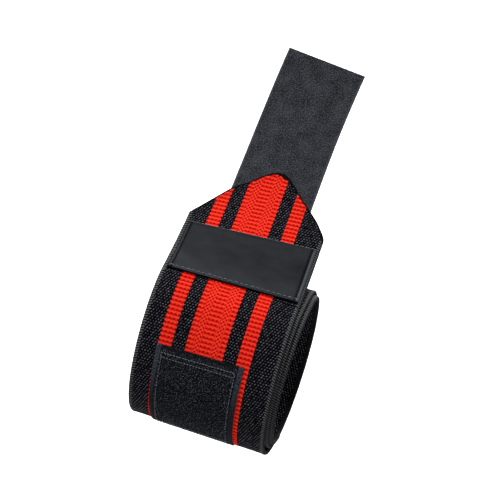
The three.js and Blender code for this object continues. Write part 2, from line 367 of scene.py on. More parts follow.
def trace_path():
    """Stations all along the band: distance, place, crossing direction and facing direction.

    The lifted end has one station for each millimetre.
    """
    turns = np.linspace(-TURNS, 0, round(TURNS * SAMPLES_PER_TURN) + 1)
    coil = coil_points(turns)
    coil_tangents = unit(coil_points(turns + TURN_STEP) - coil_points(turns - TURN_STEP))
    steps = np.linalg.norm(np.diff(coil, axis=0), axis=1)
    coil_along = np.concatenate([[0], np.cumsum(steps)]) - steps.sum()

    leaving = unit(coil_points(0.0) - coil_points(-TURN_STEP))
    lift_along = np.arange(1.0, LIFT_LENGTH + 1)
    share = lift_along / LIFT_LENGTH
    lean = math.atan2(leaving[1], leaving[2]) - np.radians(smooth_curve(LIFT_ROWS, 1, share))
    heading = math.asin(leaving[0]) + np.radians(smooth_curve(LIFT_ROWS, 2, share))
    flat = np.cos(heading)
    lift_tangents = np.stack([np.sin(heading), flat * np.sin(lean), flat * np.cos(lean)], -1)
    lift = coil[-1] + np.cumsum(lift_tangents, axis=0)

    along = np.concatenate([coil_along, lift_along])
    points = np.concatenate([coil, lift])
    tangents = np.concatenate([coil_tangents, lift_tangents])
    twist = np.concatenate([np.zeros(len(coil)), np.radians(smooth_curve(LIFT_ROWS, 3, share))])[:, None]
    cross = unit(np.array([1.0, 0, 0]) - tangents[:, :1] * tangents)
    cross = cross * np.cos(twist) + np.cross(cross, tangents) * np.sin(twist)
    return along, points, cross, np.cross(cross, tangents)


PATH_ALONG, PATH_POINTS, PATH_CROSS, PATH_FACING = trace_path()
COIL_START = PATH_ALONG[0]
RELAXED_LENGTH = -PATH_ALONG[0] / STRETCH + TONGUE_STRAIGHT + TONGUE_POINT


def lay(along, across, lift):
    """Places on the band, as points in metres."""
    along, across, lift = np.broadcast_arrays(*(np.asarray(x, float) for x in (along, across, lift)))

    def read(column):
        return np.stack([np.interp(along, PATH_ALONG, column[:, k]) for k in range(3)], -1)

    cross, facing = unit(read(PATH_CROSS)), unit(read(PATH_FACING))
    return (read(PATH_POINTS) + cross * across[..., None] + facing * lift[..., None]) * METRE


def grid_faces(rows, columns, first=0):
    """Quads between the vertices of a grid, numbered row by row."""
    r, c = np.meshgrid(np.arange(rows - 1), np.arange(columns - 1), indexing="ij")
    corner = (first + r * columns + c).ravel()
    return np.stack([corner, corner + 1, corner + columns + 1, corner + columns], -1)


def add_piece(name, vertices, faces, material, cloth):
    """A smooth mesh piece that rides on the part. cloth gives each vertex its (across, along)."""
    mesh = bpy.data.meshes.new(name)
    faces = [list(map(int, painted_rim_shade)) for painted_rim_shade in faces]
    mesh.from_pydata(np.asarray(vertices).reshape(-1, 3).tolist(), [], faces)
    corners = np.empty(len(mesh.loops), int)
    mesh.loops.foreach_get("vertex_index", corners)
    layer = mesh.uv_layers.new(name="cloth")
    layer.data.foreach_set("uv", (cloth.reshape(-1, 2)[corners] / CLOTH_UNIT).ravel())
    mesh.polygons.foreach_set("use_smooth", [True] * len(mesh.polygons))
    mesh.materials.append(material)
    piece = bpy.data.objects.new(name, mesh)
    bpy.context.scene.collection.objects.link(piece)
    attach(piece, "root")
    return piece


def closed_sheet(name, along, across, outer, inner, material, rows=None, columns=None):
    """A closed sheet from a fine outer grid and an inner grid of some of its rows and columns."""
    height, width = outer.shape
    rows = np.arange(height) if rows is None else rows
    columns = np.arange(width) if columns is None else columns
    along = np.broadcast_to(along, outer.shape)
    pick = np.ix_(rows, columns)
    vertices = np.concatenate([
        lay(along, across, outer).reshape(-1, 3),
        lay(along[pick], across[pick], inner[pick]).reshape(-1, 3),
    ])
    cloth = np.concatenate([
        np.stack([across, along], -1).reshape(-1, 2),
        np.stack([across[pick], along[pick]], -1).reshape(-1, 2),
    ])
    first = outer.size
    faces = grid_faces(height, width).tolist()
    faces += grid_faces(len(rows), len(columns), first)[:, ::-1].tolist()
    for i in range(len(rows) - 1):
        low, high = first + i * len(columns), first + (i + 1) * len(columns)
        run = np.arange(rows[i], rows[i + 1] + 1) * width
        last = len(columns) - 1
        faces.append([*run, high, low])
        faces.append([*(run + width - 1)[::-1], low + last, high + last])
    for j in range(len(columns) - 1):
        run = np.arange(columns[j], columns[j + 1] + 1)
        top = first + (len(rows) - 1) * len(columns)
        faces.append([*run[::-1], first + j, first + j + 1])
        faces.append([*(run + (height - 1) * width), top + j + 1, top + j])
    return add_piece(name, vertices, faces, material, cloth)


def threads(name, paths, radius, sides, material):
    """Many short threads in one mesh, thin at their ends. paths is (thread, point, 3) in band places."""
    count, length, _ = paths.shape
    # The tiny numbers keep both directions defined where a thread stands straight up.
    tangents = unit(np.gradient(paths, axis=1) + 1e-9)
    side = unit(np.cross(tangents, np.array([0.0, 0.0, 1.0])) + np.array([1e-6, 1e-6, 0]))
    top = np.cross(side, tangents)
    turn = np.arange(sides) * 2 * math.pi / sides
    girth = radius * np.sin(np.linspace(TAPER_START, math.pi - TAPER_START, length)) ** TAPER_SHAPE
    ring = side[:, :, None] * np.cos(turn)[:, None] + top[:, :, None] * np.sin(turn)[:, None]
    places = paths[:, :, None] + ring * girth[None, :, None, None]
    vertices = lay(places[..., 0], places[..., 1], places[..., 2])
    step, around = np.meshgrid(np.arange(length - 1), np.arange(sides), indexing="ij")
    step, around = step.ravel(), around.ravel()
    after = (around + 1) % sides
    quads = np.stack([step * sides + around, step * sides + after], -1)
    quads = np.concatenate([quads, quads[:, ::-1] + sides], -1)
    starts = (np.arange(count) * length * sides)[:, None, None]
    faces = (starts + quads[None]).reshape(-1, 4)
    return add_piece(name, vertices, faces, material, places[..., [1, 0]].reshape(-1, 2))


class Field:
    """A number that varies over a surface: the output of a Math node."""

    def __init__(self, tree, socket):
        self.tree = tree
        self.socket = socket

    def math(self, operation, *others, first=True):
        """A Math node on this field and some others. first says whether this field comes before them."""
        node = self.tree.nodes.new("ShaderNodeMath")
        node.operation = operation
        values = (self, *others) if first else (*others, self)
        for place, value in zip(node.inputs, values):
            if isinstance(value, Field):
                self.tree.links.new(value.socket, place)
            else:
                place.default_value = value
        return Field(self.tree, node.outputs[0])

    def __add__(self, other):
        return self.math("ADD", other)

    def __radd__(self, other):
        return self.math("ADD", other)

    def __sub__(self, other):
        return self.math("SUBTRACT", other)

    def __rsub__(self, other):
        return self.math("SUBTRACT", other, first=False)

    def __mul__(self, other):
        return self.math("MULTIPLY", other)

    def __rmul__(self, other):
        return self.math("MULTIPLY", other)

    def __truediv__(self, other):
        return self.math("DIVIDE", other)

    def __abs__(self):
        return self.math("ABSOLUTE")

    def __pow__(self, other):
        return self.math("POWER", other)


# The patterns below work on fields, for materials, and on arrays, for relief in the meshes.


def sine(x):
    return x.math("SINE") if isinstance(x, Field) else np.sin(x)


def limited(x):
    """x kept between 0 and 1."""
    return x.math("MAXIMUM", 0).math("MINIMUM", 1) if isinstance(x, Field) else np.clip(x, 0, 1)


def ramp(x, low, high):
    """A smooth rise from 0 at low to 1 at high. high may be the smaller one."""
    t = limited((x - low) / (high - low))
    return t * t * (3 - 2 * t)


def between(x, low, high, soft):
    """1 from low to high and 0 outside, with soft borders."""
    return ramp(x, low - soft, low + soft) * (1 - ramp(x, high - soft, high + soft))


def ridges(x, pitch):
    """Round ridges with sharp valleys, from 0 to 1, one for each pitch."""
    return abs(sine(x * (math.pi / pitch)))


def waves(x, pitch):
    """Smooth waves, from 0 to 1, one for each pitch."""
    return 0.5 + 0.5 * sine(x * (2 * math.pi / pitch))


def red_stripes(across, soft=0.15, bulge=0.0):
    """1 on the three red stripes, each wider by bulge at its sides, and 0 on the black webbing."""
    side = abs(across - STRIPE_SHIFT)
    inner = ramp(side - NARROW_INNER + bulge, -soft, soft)
    outer = ramp(side - NARROW_OUTER - bulge, -soft, soft)
    centre = ramp(side - CENTRE_HALF - bulge, -soft, soft)
    return inner * (1 - outer) + 1 - centre


def red_relief(across, along):
    """Height of the red weave, from 0 to 1: cross ribs, with two herringbone bands in the wide stripe."""
    u = across - STRIPE_SHIFT
    side = abs(u)
    scallop = sine(u * (2 * math.pi / THREAD_PITCH)) * (RIB_SCALLOP * RIB_PITCH)
    rib = waves(along + scallop, RIB_PITCH) ** RIB_SHAPE
    rib = rib + (1 - rib) * waves(u, THREAD_PITCH) * VALLEY_THREADS
    middle = (HERRINGBONE_INNER + HERRINGBONE_OUTER) / 2
    slant = abs(side - middle) * HERRINGBONE_SLOPE
    rising = waves(along + slant, HERRINGBONE_PITCH)
    falling = waves(along - slant, HERRINGBONE_PITCH)
    chevron = 1 - (1 - rising) * (1 - HERRINGBONE_CROSSING * falling) * HERRINGBONE_DEPTH
    zone = between(side, HERRINGBONE_INNER, HERRINGBONE_OUTER, HERRINGBONE_SOFT)
    return rib * (1 - zone) + chevron * zone


def twill_relief(across, along):
    """Height of the black twill, from 0 to 1: slanting ridges, each a row of small beads."""
    length = math.hypot(1, TWILL_SLOPE)
    over = (along - across * TWILL_SLOPE) / length
    down = (across + along * TWILL_SLOPE) / length
    beads = ridges(down + over * 0.5, TWILL_BEAD)
    return ridges(over, TWILL_PITCH) * (TWILL_VALLEY + (1 - TWILL_VALLEY) * beads)


class Surface:
    """A material on a Principled shader, with fields of the place on the band."""

    def __init__(self, name):
        self.material = bpy.data.materials.new(name)
        self.material.use_nodes = True
        self.tree = self.material.node_tree
        self.shader = self.tree.nodes["Principled BSDF"]
        place = self.tree.nodes.new("ShaderNodeUVMap")
        place.uv_map = "cloth"
        split = self.tree.nodes.new("ShaderNodeSeparateXYZ")
        self.tree.links.new(place.outputs["UV"], split.inputs[0])
        self.across = Field(self.tree, split.outputs["X"]) * CLOTH_UNIT
        self.along = Field(self.tree, split.outputs["Y"]) * CLOTH_UNIT

    def noise(self, size, detail=2, stretch=1):
        """Noise with grains of a size in millimetres, longer along the band by stretch."""
        join = self.tree.nodes.new("ShaderNodeCombineXYZ")
        self.tree.links.new((self.across / size).socket, join.inputs["X"])
        self.tree.links.new((self.along / (size * stretch)).socket, join.inputs["Y"])
        texture = self.tree.nodes.new("ShaderNodeTexNoise")
        texture.inputs["Scale"].default_value = 1
        texture.inputs["Detail"].default_value = detail
        self.tree.links.new(join.outputs[0], texture.inputs["Vector"])
        return Field(self.tree, texture.outputs["Fac"])

    def mix(self, share, low, high):
        """The colour between two others by a field. Each is a colour or another mix."""
        return mixed_colour(self.tree, share, low, high)

    def finish(self, colour, height, depth, roughness, specular):
        """Sets the colour, a bump from a height field with its depth in millimetres, and the gloss."""
        self.tree.links.new(colour, self.shader.inputs["Base Color"])
        bump = self.tree.nodes.new("ShaderNodeBump")
        bump.inputs["Strength"].default_value = 1
        bump.inputs["Distance"].default_value = depth * METRE
        self.tree.links.new(height.socket, bump.inputs["Height"])
        self.tree.links.new(bump.outputs[0], self.shader.inputs["Normal"])
        self.shader.inputs["Roughness"].default_value = roughness
        self.shader.inputs["Specular IOR Level"].default_value = specular
        return self.material


def mixed_colour(tree, share, low, high):
    """A Mix node's output between two colours, each a tuple or another such output."""
    node = tree.nodes.new("ShaderNodeMix")
    node.data_type = "RGBA"
    tree.links.new(share.socket, node.inputs["Factor"])
    # Sockets 6 and 7 are the two colours of a Mix node set to RGBA, and output 2 is its colour.
    for key, colour in ((6, low), (7, high)):
        if isinstance(colour, tuple):
            node.inputs[key].default_value = (*colour, 1)
        else:
            tree.links.new(colour, node.inputs[key])
    return node.outputs[2]


def webbing_material():
    """Red ribs and herringbone on the stripes, black twill beside them, a dark seam between the two, with
    painted shade in the valleys of the ribs and twill and painted highlights on their crests.
    """
    cloth = Surface("webbing")
    ribs = red_relief(cloth.across, cloth.along)
    red = limited(red_stripes(cloth.across, 0.12, ribs * RIB_BULGE - RIB_BULGE / 2))
    twill = twill_relief(cloth.across, cloth.along)
    uneven = cloth.noise(0.8, 3)
    seam = limited(red_stripes(cloth.across, 0.9) * 2.5) * (1 - red)
    # Painted light on the red ribs: painted shade in the valleys and a painted highlight on the crests.
    painted_rib_light = ramp(ribs + (uneven - 0.5) * 1.1, 0.05, 1.15)
    red_colour = cloth.mix(limited(painted_rib_light * 2), RED_VALLEY_PAINTED_SHADE, RED_BODY)
    red_colour = cloth.mix(limited(painted_rib_light * 2 - 1), red_colour, RED_CREST_PAINTED_HIGHLIGHT)
    patchy = cloth.noise(2.2, 1)
    # Painted highlight on the twill's bead crests, patchy by noise.
    painted_crest_highlight = ramp(twill + (uneven - 0.5) * 1.5 + (patchy - 0.5) * 0.7, 0.62, 1.15)
    black_colour = cloth.mix(painted_crest_highlight, *TWILL_BLACK_AND_PAINTED_HIGHLIGHT)
    black_colour = cloth.mix(seam * 0.9, black_colour, STRIPE_SEAM)
    colour = cloth.mix(red, black_colour, red_colour)
    fine = ridges(cloth.across, THREAD_PITCH / 3) * 0.25 * red
    height = twill * (1 - red) + ribs * red * 0.5 + fine + uneven * 0.15
    return cloth.finish(colour, height, depth=0.35, roughness=0.85, specular=0.02)


def thread_material(name):
    """One of the yarns, whose colour changes from dark to bright over its patches."""
    dark, bright, patch = YARNS[name]
    yarn = Surface(name)
    grain = yarn.noise(patch, 2)
    colour = yarn.mix(limited(grain * 4 - 1.7), dark, bright)
    return yarn.finish(colour, grain, depth=0.08, roughness=0.75, specular=0.03)


def seam_material():
    """Thread dyed like the webbing under it."""
    yarn = Surface("seam_thread")
    grain = yarn.noise(0.35, 2)
    colour = yarn.mix(limited(red_stripes(yarn.across)), SEAM_BLACK, yarn.mix(grain, *SEAM_REDS))
    return yarn.finish(colour, grain, depth=0.08, roughness=0.7, specular=0.1)


def overlock_material():
    """Slanting stitches with painted highlights on their crests, pale on the outer face and darkened round
    the rim by painted shade.

    On an edge roll the cloth's first number is the distance along the edge, and its second one is
    ROLL_CLOTH times the angle round the roll.
    """
    yarn = Surface("overlock_thread")
    grain = yarn.noise(0.5, 2)
    rib = ridges(yarn.across + yarn.along * OVERLOCK_SLANT, OVERLOCK_PITCH)
    # Painted highlight on the stitches' crests, with painted shade in their valleys.
    painted_crest_highlight = ramp(rib + (grain - 0.5) * 0.6, 0.55, 1.05)
    # Painted shade round the rim: all but the outer face is darkened.
    painted_rim_shade = 1 - ramp(yarn.along, 1.6, 3.4) * 0.8
    colour = yarn.mix(painted_crest_highlight * painted_rim_shade, *OVERLOCK_BLACK_AND_PAINTED_HIGHLIGHT)
    return yarn.finish(colour, grain, depth=0.1, roughness=0.75, specular=0.04)


def label_material():
    """Dark rubber, cloudy, with painted sheen toward its ends and lower part, painted light on the hand side
    of its rim, and painted shade in the groove inside the rim, on the wrist side's outer edge and at both
    ends.
    """
    rubber = Surface("label_rubber")
    grain = rubber.noise(0.35, 3)
    cloud = rubber.noise(14, 3, 0.5)
    from_middle = abs(rubber.along - LABEL_START - LABEL_LENGTH / 2)
    from_side = LABEL_WIDTH / 2 - abs(rubber.across - LABEL_OFFSET)
    from_end = LABEL_LENGTH / 2 - from_middle
    # Painted sheen: the panel is lighter toward its lower part and toward both ends.
    painted_sheen_below = ramp(rubber.along, LABEL_START + LABEL_LENGTH * 0.55, LABEL_START)
    # Painted light: the rim is lighter on the hand side and shaded on the wrist side.
    painted_light_side = ramp(rubber.across, -LABEL_WIDTH / 3, LABEL_WIDTH / 3)
    painted_sheen_near_ends = limited(from_middle / (LABEL_LENGTH / 2)) ** 2
    tone_and_painted_sheen = limited(cloud * 0.9 - 0.25 + painted_sheen_near_ends * 0.3 + painted_sheen_below * 0.3)
    panel = rubber.mix(tone_and_painted_sheen, *LABEL_COLOURS)
    rim = rubber.mix(1 - ramp(from_side, 1.35, 1.55), panel, rubber.mix(painted_light_side, *LABEL_RIM_PAINTED_SHADE_AND_LIGHT))
    # Painted shade in the groove inside the rim.
    painted_groove_shade = between(from_side, 1.55, 2.55, 0.12)
    # Painted shade on the outer edge of the rim on the wrist side.
    painted_outer_edge_shade = (1 - ramp(from_side, 0.35, 0.75)) * (1 - painted_light_side)
    # All the painted shade: the groove, the wrist side's outer edge, and a dark line at both ends where
    # shadow falls at the label's edges.
    shade = limited(painted_groove_shade + painted_outer_edge_shade + 1 - ramp(from_end, 0.05, 0.4))
    colour = rubber.mix(shade, rim, LABEL_PAINTED_SHADE)
    return rubber.finish(colour, grain, depth=0.05, roughness=0.55, specular=0.045)


def loop_material():
    """Knit under the pile, with slate selvedges that are paler at the patch's upper end."""
    pile = Surface("loop_tape")
    edge = abs(pile.across - LOOP_OFFSET)
    border = LOOP_WIDTH / 2 - LOOP_SELVEDGE
    grain = pile.noise(0.9, 2)
    knit = ridges(pile.across - pile.along * 0.5, 1.3) * ridges(pile.along + pile.across * 0.3, 1.5)
    speck = limited(grain * 5 - 2.7)
    body = pile.mix(limited(speck * 0.7 + knit * 0.15), *PILE_COLOURS)
    upper = ramp(pile.along, -LOOP_START - LOOP_LENGTH * 0.6, -LOOP_START - LOOP_LENGTH * 0.15)
    slate = limited(grain * 2 - 0.5) * (0.25 + 0.75 * upper)
    colour = pile.mix(ramp(edge, border - 0.3, border + 0.3), body, pile.mix(slate, *SELVEDGE_COLOURS))
    return pile.finish(colour, grain + knit * 0.6, depth=0.25, roughness=0.85, specular=0.03)


def tab_material():
    """Charcoal woven tape, specked and cloudy, with slightly paler borders."""
    tape = Surface("hook_tape")
    fine = tape.noise(0.7, 2)
    cloud = tape.noise(9, 3)
    weave = ridges(tape.across, 0.7) * ridges(tape.along, 0.7)
    edge = abs(tape.across - TAB_OFFSET)
    border = ramp(edge, TAB_WIDTH / 2 - 1.6, TAB_WIDTH / 2 - 0.9)
    speck = limited(fine * 7 - 3.2)
    shade = limited(speck * 0.65 + weave * 0.1 + cloud * 0.7 - 0.32)
    colour = tape.mix(border * 0.6, tape.mix(shade, *TAB_COLOURS), TAB_BORDER)
    return tape.finish(colour, fine + weave * 0.5, depth=0.14, roughness=0.8, specular=0.04)


def stage_material():
    """Paper that is greyer near the part, to throw less light under it, and pale to the front and sides."""
    paper = bpy.data.materials.new("stage_paper")
    paper.use_nodes = True
    tree = paper.node_tree
    place = tree.nodes.new("ShaderNodeNewGeometry")
    split = tree.nodes.new("ShaderNodeSeparateXYZ")
    tree.links.new(place.outputs["Position"], split.inputs[0])
    x, y = Field(tree, split.outputs["X"]), Field(tree, split.outputs["Y"])
    far = limited(ramp(abs(x), FAR_START, FAR_END) + ramp(y, -FAR_START, -FAR_END))
    shader = tree.nodes["Principled BSDF"]
    tree.links.new(mixed_colour(tree, far, NEAR_PAPER, FAR_PAPER), shader.inputs["Base Color"])
    shader.inputs["Roughness"].default_value = 0.9
    shader.inputs["Specular IOR Level"].default_value = 0
    return paper


def outline(along):
    """The band's left and right edges at distances along it."""
    share = (np.asarray(along, float) - TONGUE_STRAIGHT) / TONGUE_POINT
    rows = np.array(POINT_ROWS, float)
    half = BAND_WIDTH / 2
    return np.interp(share, rows[:, 0], rows[:, 1]) * half, np.interp(share, rows[:, 0], rows[:, 2]) * half


def band_rows():
    """Distances along the band, close where it shows, and the numbers of those its inner face uses."""
    outer_turn = PATH_ALONG[len(PATH_ALONG) - LIFT_LENGTH - 1 - SAMPLES_PER_TURN]
    tip = TONGUE_STRAIGHT + TONGUE_POINT - EDGE_INSET
    hidden = np.linspace(COIL_START, outer_turn, round((outer_turn - COIL_START) / HIDDEN_STEP))
    seen = np.linspace(outer_turn, tip, round((tip - outer_turn) / (RIB_PITCH / ROWS_PER_RIB)))
    along = np.concatenate([hidden[:-1], seen])
    first_seen, last = len(hidden) - 1, len(along) - 1
    keep = np.concatenate([np.arange(first_seen), np.arange(first_seen, last, ROWS_PER_RIB), [last]])
    return along, keep


def band_columns():
    """Distances across the band: close at its edges, closer on the stripes than beside them."""
    half = BAND_WIDTH / 2
    stops = [-half + EDGE_WIDTH]
    borders = [-NARROW_OUTER, -NARROW_INNER, -CENTRE_HALF, CENTRE_HALF, NARROW_INNER, NARROW_OUTER]
    for k, border in enumerate([*(b + STRIPE_SHIFT for b in borders), half - EDGE_WIDTH]):
        step = STRIPE_STEP if k % 2 else PLAIN_STEP
        count = math.ceil((border - stops[-1]) / step)
        stops.extend(np.linspace(stops[-1], border, count + 1)[1:])
    return np.array([*(-half + e for e in EDGE_STOPS), *stops, *(half - e for e in EDGE_STOPS[::-1])])


def band_piece(material):
    """The webbing: a closed sheet whose outer face has the ribs, herringbone and seams in relief."""
    along, keep = band_rows()
    across = band_columns()
    left, right = outline(along)
    left, right = left + EDGE_INSET, right - EDGE_INSET
    share = (across + BAND_WIDTH / 2) / BAND_WIDTH
    across = left[:, None] + (right - left)[:, None] * share[None, :]
    along = along[:, None]

    from_edge = np.minimum(across - left[:, None], right[:, None] - across)
    drop = -EDGE_DROP * (1 - np.clip(from_edge / EDGE_DROP_WIDTH, 0, 1)) ** 2
    weave = red_relief(across, np.broadcast_to(along, across.shape)) - 0.5
    relief = RIB_RELIEF * weave * red_stripes(across, 0.2)
    seam = -SEAM_DEPTH * (red_stripes(across, 0.6) - red_stripes(across, 0.1))
    outer = (BAND_THICKNESS - EDGE_THICKNESS) / 2 + relief + seam + drop
    inner = np.full_like(outer, -(BAND_THICKNESS + EDGE_THICKNESS) / 2) - drop
    columns = np.unique(np.linspace(0, across.shape[1] - 1, INNER_COLUMNS).round().astype(int))
    return closed_sheet("webbing_band", along, across, outer, inner, material, keep, columns)


def edge_roll(name, border, inward, width, thickness, middle, pitch, relief, material):
    """Thread over an edge: a ribbed roll from one face round to the other.

    border and inward are (point, 2) arrays of (along, across), and width is a number for each point;
    middle is the lift of the edge's middle.
    """
    turn = np.linspace(0, math.pi, ROLL_SIDES)
    reach = width[:, None] * (1 - np.sin(turn) ** ROLL_SHAPE)[None]
    height = thickness / 2 * np.sign(np.cos(turn)) * np.abs(np.cos(turn)) ** ROLL_SHAPE
    out = unit(np.stack([-np.sin(turn) / width.min(), np.cos(turn) / (thickness / 2)], -1))
    run = run_along(border)
    round_edge = ROLL_CLOTH * turn[None]
    rib = ridges(run[:, None] + round_edge * OVERLOCK_SLANT, pitch) ** 0.8
    puff = relief * (rib - 0.6)
    inset = reach + puff * out[None, :, 0]
    lift = middle + height[None] + puff * out[None, :, 1]
    at_rim = (turn == turn[0]) | (turn == turn[-1])
    sink = np.where(at_rim, ROLL_SINK, 0)[None] * np.sign(height)[None]
    along = border[:, :1] + inward[:, :1] * inset
    across = border[:, 1:] + inward[:, 1:] * inset
    vertices = lay(along, across, lift - sink)
    cloth = np.stack(np.broadcast_arrays(run[:, None], round_edge), -1)
    return add_piece(name, vertices, grid_faces(len(border), len(turn)), material, cloth)


def overlock_edge(name, side, material):
    """Overlock on one long edge, at side -1 or 1, from the band's inner end to the point."""
    end = TONGUE_STRAIGHT + OVERLOCK_REACH
    count = round((end - COIL_START) / (OVERLOCK_PITCH / OVERLOCK_SAMPLES))
    border = np.stack([np.linspace(COIL_START, end, count), np.full(count, side * BAND_WIDTH / 2)], -1)
    inward = np.stack([np.zeros(count), np.full(count, -float(side))], -1)
    thickness, middle = EDGE_THICKNESS + OVERLOCK_RISE, -EDGE_THICKNESS / 2
    shape = (border, inward, np.full(count, EDGE_WIDTH), thickness, middle, OVERLOCK_PITCH, OVERLOCK_RELIEF)
    return edge_roll(name, *shape, material)


def point_border():
    """The point's cut edge as a smoothed line of (along, across), and the direction inward on it."""
    rows = np.array(POINT_ROWS, float)
    corners = np.concatenate([rows[:, [0, 1]], rows[::-1][:, [0, 2]]]) * [TONGUE_POINT, BAND_WIDTH / 2]
    corners[:, 0] += TONGUE_STRAIGHT
    run = run_along(corners)
    at = np.linspace(0, run[-1], round(run[-1] / BINDING_STEP))
    border = np.stack([np.interp(at, run, corners[:, k]) for k in range(2)], -1)
    for _ in range(BINDING_SMOOTHING):
        border[1:-1] = (border[:-2] + 2 * border[1:-1] + border[2:]) / 4
    heading = unit(np.gradient(border, axis=0))
    inward = np.stack([-heading[:, 1], heading[:, 0]], -1)
    inward *= np.sign(((np.array([TONGUE_STRAIGHT, 0]) - border) * inward).sum(-1, keepdims=True))
    return border, inward


def edge_pieces(overlock, binding, seam):
    """Overlock on the two long edges, a narrow binding round the point's cut edge and stitches inside it."""
    border, inward = point_border()
    crescent = [TONGUE_STRAIGHT + TONGUE_POINT - CRESCENT_BELOW_TIP, BAND_WIDTH / 2 * CRESCENT_SIDE]
    away = np.linalg.norm(border - crescent, axis=1) / CRESCENT_REACH
    width = BINDING_WIDTH + CRESCENT_WIDTH * np.exp(-away ** 2)
    thickness, middle = EDGE_THICKNESS + BINDING_RISE, (BINDING_RISE - EDGE_THICKNESS) / 2
    shape = (border, inward, width, thickness, middle, BINDING_PITCH, BINDING_RELIEF)
    line = (border + inward * POINT_STITCH_INSET)[4:-4]
    return [
        overlock_edge("overlock_wrist_side", -1, overlock),
        overlock_edge("overlock_hand_side", 1, overlock),
        edge_roll("point_binding", *shape, binding),
        stitch_row("point_stitches", line, 0, POINT_STITCH, seam),
    ]


def stitch_row(name, line, lift, stitch, material):
    """Stitches along a line of (along, across) points, each a short thread that dips at its ends."""
    pitch, length, radius = stitch
    run = run_along(line)
    starts = np.arange(STITCH_FIRST, run[-1] - length, pitch)
    t = np.linspace(0, 1, THREAD_POINTS)
    at = starts[:, None] + t[None] * length
    arch = np.broadcast_to(lift + radius * (np.sin(t * math.pi) * STITCH_RISE - STITCH_DIP), at.shape)
    paths = np.stack([np.interp(at, run, line[:, 0]), np.interp(at, run, line[:, 1]), arch], -1)
    return threads(name, paths, radius, STITCH_SIDES, material)


def profile_grid(start, length, width, offset, profile_along, profile_across, step):
    """A patch's grid of (along, across, height): close where its border profiles step, even between."""

    def stops(profile, size):
        inset = [p[0] for p in profile]
        middle = np.linspace(inset[-1], size - inset[-1], max(2, round((size - 2 * inset[-1]) / step)))
        return np.array([*inset[:-1], *middle, *(size - x for x in inset[:-1][::-1])])

    rows, columns = stops(profile_along, length), stops(profile_across, width)
    from_end = np.minimum(rows, length - rows)[:, None]
    from_side = np.minimum(columns, width - columns)[None]
    along = (start + rows)[:, None] + 0 * from_side
    across = (offset - width / 2 + columns)[None] + 0 * from_end
    heights = [
        np.interp(distance, [p[0] for p in profile], [p[1] for p in profile])
        for distance, profile in ((from_end, profile_along), (from_side, profile_across))
    ]
    return along, across, np.minimum(*np.broadcast_arrays(*heights))


def swell(along, across, shape):
    """Slow waves over a patch, so that it is not quite flat."""
    height, length, breadth, shift = shape
    return height * np.sin(along / length) * np.sin(across / breadth + shift)


def label_pieces(rubber, thread):
    """The bare rubber label: a raised rim, a groove inside it, a flat panel, and stitches at both ends."""
    size = (LABEL_START, LABEL_LENGTH, LABEL_WIDTH, LABEL_OFFSET)
    along, across, top = profile_grid(*size, LABEL_END_ROWS, LABEL_SIDE_ROWS, LABEL_STEP)
    outer = SEAT_GAP + top + swell(along, across, LABEL_SWELL) * (top > 1.2)
    inner = np.full_like(outer, SEAT_GAP)
    pieces = [closed_sheet("rubber_label", along, across, outer, inner, rubber)]
    reach = LABEL_WIDTH / 2 - LABEL_STITCH_INSET
    columns = np.linspace(LABEL_OFFSET - reach, LABEL_OFFSET + reach, LINE_POINTS)
    for name, inset, level in LABEL_STITCH_ROWS:
        line = np.stack([np.full(LINE_POINTS, LABEL_START + inset), columns], -1)
        name = f"label_stitches_{name}"
        pieces.append(stitch_row(name, line, SEAT_GAP + level, LABEL_STITCH, thread))
    return pieces


def sewn(along, across):
    """Where a place across the loop patch lies on the band: it is sewn aslant and narrows downward."""
    down = -LOOP_START - np.asarray(along, float)
    return across + down * (LOOP_SLANT - LOOP_TAPER * (across - LOOP_OFFSET) / (LOOP_WIDTH / 2))


def loop_tape_piece(rng, tape):
    """The loop patch's tape, with flat borders, and a rough top where its pile stands."""
    start = -LOOP_START - LOOP_LENGTH
    size = (start, LOOP_LENGTH, LOOP_WIDTH, LOOP_OFFSET)
    along, across, top = profile_grid(*size, LOOP_END_ROWS, LOOP_SIDE_ROWS, LOOP_STEP)
    rough = PILE_ROUGHNESS * rng.standard_normal(top.shape) * (top > PILE_TOP - PILE_SINK)
    outer = SEAT_GAP + top + rough
    inner = np.full_like(outer, SEAT_GAP)
    return closed_sheet("loop_tape", along, sewn(along, across), outer, inner, tape)


def loop_pile_piece(rng, fuzz):
    """The pile: a scatter of small loops that lie in all directions, lower on the hems."""
    start = -LOOP_START - LOOP_LENGTH
    reach = LOOP_WIDTH / 2 - LOOP_SELVEDGE - PILE_SIDE_INSET
    down = np.arange(start + PILE_INSET, start + LOOP_LENGTH - PILE_INSET, PILE_STEP)
    rows, columns = np.meshgrid(down, np.arange(-reach, reach, PILE_STEP), indexing="ij")
    base = np.stack([rows.ravel(), columns.ravel() + LOOP_OFFSET], -1)
    base += rng.uniform(-PILE_SCATTER, PILE_SCATTER, base.shape)
    heading = rng.uniform(0, 2 * math.pi, len(base))
    size = rng.uniform(*PILE_SPANS, len(base))
    hem = np.minimum(base[:, 0] - start, start + LOOP_LENGTH - base[:, 0]) < LOOP_HEM
    rise = np.where(hem, HEM_PILE_RISE, PILE_RISE) * rng.uniform(*PILE_RISE_SHARES, len(base))
    seat = SEAT_GAP + np.where(hem, LOOP_TAPE + HEM_PILE_SEAT, PILE_TOP - PILE_SINK)
    t = np.linspace(0, 1, THREAD_POINTS)
    span = (t - 0.5)[None] * size[:, None]
    along = base[:, :1] + np.cos(heading)[:, None] * span
    across = sewn(base[:, :1], base[:, 1:] + np.sin(heading)[:, None] * span)
    lift = seat[:, None] + np.sin(t * math.pi)[None] * rise[:, None]
    paths = np.stack([along, across, lift], -1)
    return threads("loop_pile", paths, PILE_RADIUS, FUZZ_SIDES, fuzz)


